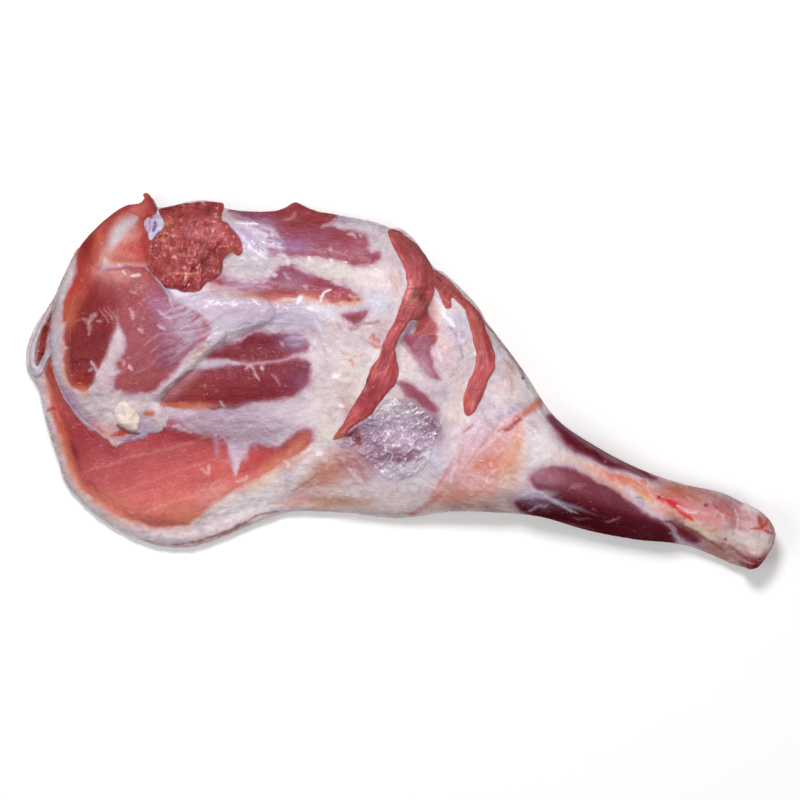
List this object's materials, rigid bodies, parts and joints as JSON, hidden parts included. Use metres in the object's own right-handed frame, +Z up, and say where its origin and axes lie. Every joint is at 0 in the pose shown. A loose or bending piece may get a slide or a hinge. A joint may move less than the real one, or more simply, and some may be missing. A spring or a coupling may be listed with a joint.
{
  "type": "raw lamb foreleg",
  "caption": "Whole raw lamb shoulder with its shank, lying rib side up, with bare muscle, silver skin, white fat and a knuckle end; food for a kitchen or butcher's counter.",
  "frame": {"origin": "on the table, under the middle of the leg's bounding box", "axes": "+X from the blade end to the knuckle of the shank, +Y to the front edge of the shoulder, +Z up, out of the rib side"},
  "size_m": [0.4704, 0.2341, 0.0542],
  "materials": {
    "meat": "wet raw muscle, red to crimson with paler silver skin and fat, glossy",
    "fat": "raw white fat, creamy, soft sheen",
    "cartilage": "grey blue translucent gristle, glossy",
    "bone": "cream pink joint end with thin wet skin over it"
  },
  "bodies": {
    "root": {"meat": "meat", "cover_fat": "fat", "blade_cartilage": "cartilage", "shank_bone": "bone"}
  },
  "joints": []
}
